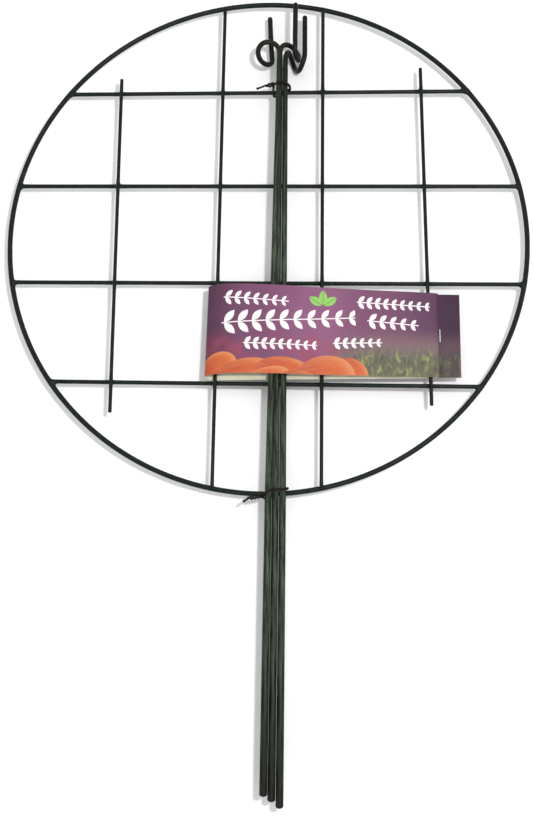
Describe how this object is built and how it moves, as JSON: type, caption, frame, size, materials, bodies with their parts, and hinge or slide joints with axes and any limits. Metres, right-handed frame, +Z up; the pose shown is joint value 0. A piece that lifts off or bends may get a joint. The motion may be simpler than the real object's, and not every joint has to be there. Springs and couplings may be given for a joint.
{
  "type": "grow through plant support",
  "caption": "Round wire grid that plants grow through, bundled flat with its loose hooked wire stakes by wire ties and wrapped in a folded card label band.",
  "frame": {"origin": "middle of the footprint, on the surface that the bundle's lowest hook rests on", "axes": "+X across the grid to the label's stapled end, +Y up the stakes towards their hooks, +Z up off the surface"},
  "size_m": [0.4064, 0.6264, 0.0294],
  "materials": {
    "grid_coating": "satin",
    "stake_coating": "satin",
    "tie_wire": "matte",
    "label_card": "gloss",
    "staple_steel": "polished"
  },
  "bodies": {
    "grid": {"ring": "grid_coating", "cross_wire_1": "grid_coating", "cross_wire_2": "grid_coating", "cross_wire_3": "grid_coating", "cross_wire_4": "grid_coating", "long_wire_1": "grid_coating", "long_wire_2": "grid_coating", "long_wire_3": "grid_coating", "long_wire_4": "grid_coating", "upper_tie": "tie_wire", "lower_tie": "tie_wire"},
    "left_stake": {"left_stake": "stake_coating"},
    "middle_stake": {"middle_stake": "stake_coating"},
    "right_stake": {"right_stake": "stake_coating"},
    "label": {"label_band": "label_card", "staple": "staple_steel"}
  },
  "joints": [
    {"name": "left_stake_slide", "type": "slide", "parent": "grid", "child": "left_stake", "axis": [0.013, 0.9999, 0.0066], "range_m": [-0.0195, 0.0065]},
    {"name": "right_stake_slide", "type": "slide", "parent": "grid", "child": "right_stake", "axis": [-0.001, 1, 0], "range_m": [-0.0175, 0.0075]},
    {"name": "middle_stake_slide", "type": "slide", "parent": "right_stake", "child": "middle_stake", "axis": [0.0025, 1, 0], "range_m": [0, 0.022]},
    {"name": "label_slide", "type": "slide", "parent": "grid", "child": "label", "axis": [0, 1, 0], "range_m": [0, 0.005]}
  ]
}
